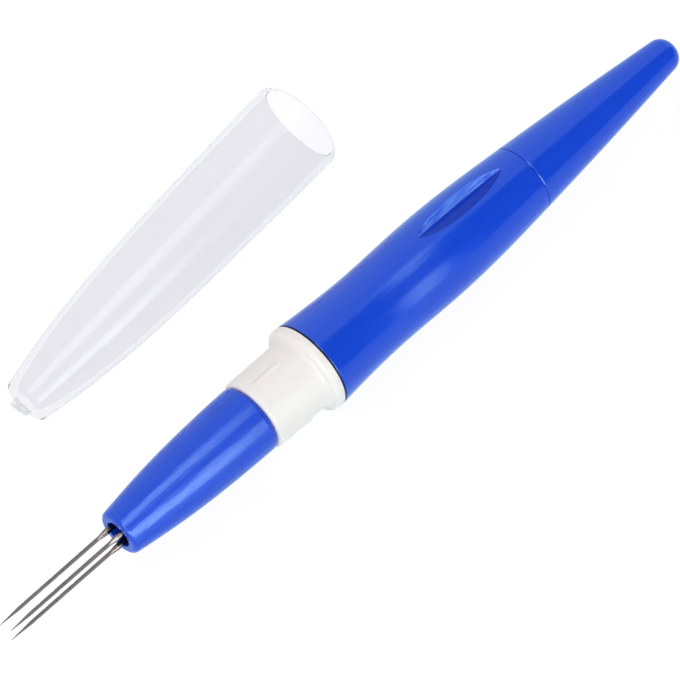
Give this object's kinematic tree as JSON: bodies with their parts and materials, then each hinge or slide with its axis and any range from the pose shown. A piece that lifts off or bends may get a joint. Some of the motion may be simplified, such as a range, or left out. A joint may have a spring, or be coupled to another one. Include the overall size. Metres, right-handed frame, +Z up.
{
  "type": "felting needle tool",
  "caption": "Pen-style felting needle tool: barbed needles in a screwed nose on a waisted blue handle, clear cap laid beside it.",
  "frame": {"origin": "on the tool axis where the straight wall of the cap's seat starts, 0.75 mm in front of the flange's face", "axes": "+X along the tool axis towards the needle tips, +Z up, with the pen and its cap lying on the plane z = -8.25 mm; the cap lies on the -Y side"},
  "size_m": [0.156, 0.0538, 0.0175],
  "materials": {
    "blue_plastic": "glossy moulded plastic",
    "white_plastic": "satin moulded plastic",
    "clear_plastic": "clear moulded plastic",
    "needle_steel": "bright drawn steel"
  },
  "bodies": {
    "handle": {"barrel": "blue_plastic", "collar": "white_plastic"},
    "holder": {"needle_holder": "white_plastic", "needle_1": "needle_steel", "needle_2": "needle_steel", "needle_3": "needle_steel"},
    "nose": {"nose_cone": "blue_plastic"},
    "tail": {"tail_piece": "blue_plastic"},
    "cap": {"clear_cap": "clear_plastic"}
  },
  "joints": [
    {"name": "holder_travel", "type": "slide", "parent": "handle", "child": "holder", "axis": [1, 0, 0], "range_m": [0, 0.005]},
    {"name": "nose_turn", "type": "hinge", "parent": "holder", "child": "nose", "pos_m": [0, 0, 0], "axis": [1, 0, 0], "range_deg": [0, 1440]},
    {"name": "tail_pull", "type": "slide", "parent": "handle", "child": "tail", "axis": [-1, 0, 0], "range_m": [0, 0.016]},
    {"name": "cap_slide", "type": "slide", "parent": "handle", "child": "cap", "axis": [0.9976, 0.0689, 0], "range_m": [0, 0.11]}
  ],
  "couplings": [
    {"joint": "nose_turn", "follows": "holder_travel", "rad_per_m": 5026.5}
  ]
}
